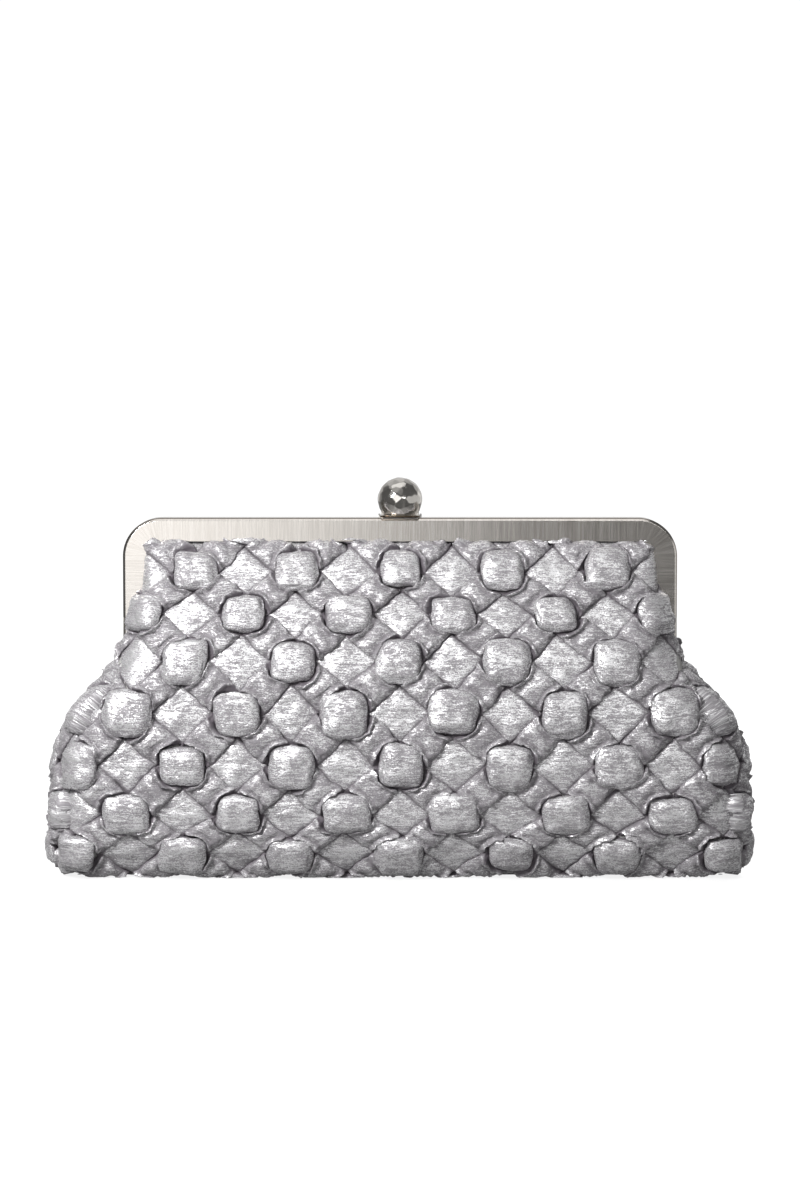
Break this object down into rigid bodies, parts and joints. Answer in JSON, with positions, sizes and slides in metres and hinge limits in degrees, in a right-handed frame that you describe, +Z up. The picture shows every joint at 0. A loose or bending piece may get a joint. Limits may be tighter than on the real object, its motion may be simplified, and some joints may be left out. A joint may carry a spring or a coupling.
{
  "type": "evening clutch bag",
  "caption": "Soft framed evening clutch with a smocked fabric body, a hinged two-part metal frame, a ball latch on a tilting tongue and a lined interior with a slip pocket.",
  "frame": {"origin": "middle of the base, on the surface the bag stands on", "axes": "+Z up through the clasp, the front faces -Y, +X to the right of someone looking at the front"},
  "size_m": [0.259, 0.0608, 0.1463],
  "materials": {
    "brushed_frame": "brushed nickel plate",
    "polished_ball": "hammered and polished nickel plate",
    "spring_steel": "plain drawn wire and strip",
    "smocked_fabric": "silver-grey metallic cloth with a horizontal slub",
    "lining_satin": "plain grey satin",
    "wadding": "needled white wadding",
    "base_board": "grey millboard",
    "paper_cord": "twisted kraft paper"
  },
  "bodies": {
    "bag_body": {"front_panel_lower": "smocked_fabric", "front_panel_fold": "smocked_fabric", "back_panel_lower": "smocked_fabric", "back_panel_fold": "smocked_fabric", "left_gusset": "smocked_fabric", "right_gusset": "smocked_fabric", "base_panel": "smocked_fabric", "front_padding": "wadding", "back_padding": "wadding", "base_board": "base_board", "front_lining_lower": "lining_satin", "front_lining_fold": "lining_satin", "back_lining_lower": "lining_satin", "back_lining_fold": "lining_satin", "left_gusset_lining": "lining_satin", "right_gusset_lining": "lining_satin", "base_lining": "lining_satin", "slip_pocket": "lining_satin", "hinge_rivet_left": "polished_ball", "hinge_rivet_right": "polished_ball", "hinge_washer_left": "spring_steel", "hinge_washer_right": "spring_steel"},
    "front_frame": {"front_frame_half": "brushed_frame", "front_channel_cord": "paper_cord", "front_panel_upper": "smocked_fabric", "front_lining_upper": "lining_satin", "catch_plate": "spring_steel"},
    "rear_frame": {"rear_frame_half": "brushed_frame", "rear_channel_cord": "paper_cord", "back_panel_upper": "smocked_fabric", "back_lining_upper": "lining_satin", "latch_bracket": "brushed_frame", "bracket_rivet_left": "polished_ball", "bracket_rivet_right": "polished_ball", "latch_pin": "spring_steel", "latch_spring": "spring_steel"},
    "latch": {"latch_tongue": "brushed_frame", "clasp_ball": "polished_ball", "ball_stud": "spring_steel"}
  },
  "joints": [
    {"name": "front_opening", "type": "hinge", "parent": "bag_body", "child": "front_frame", "pos_m": [0, 0, 0.082], "axis": [1, 0, 0], "range_deg": [0, 35], "deforming": ["front_panel_fold", "front_lining_fold"]},
    {"name": "rear_opening", "type": "hinge", "parent": "bag_body", "child": "rear_frame", "pos_m": [0, 0, 0.082], "axis": [-1, 0, 0], "range_deg": [0, 35], "deforming": ["back_panel_fold", "back_lining_fold"]},
    {"name": "latch_tilt", "type": "hinge", "parent": "rear_frame", "child": "latch", "pos_m": [0, 0.0086, 0.1312], "axis": [-1, 0, 0], "range_deg": [0, 40], "stiffness_Nm_per_rad": 0.012, "springref_deg": -20.05, "deforming": ["latch_spring"]}
  ],
  "couplings": [
    {"joint": "rear_opening", "follows": "front_opening", "ratio": 1}
  ]
}
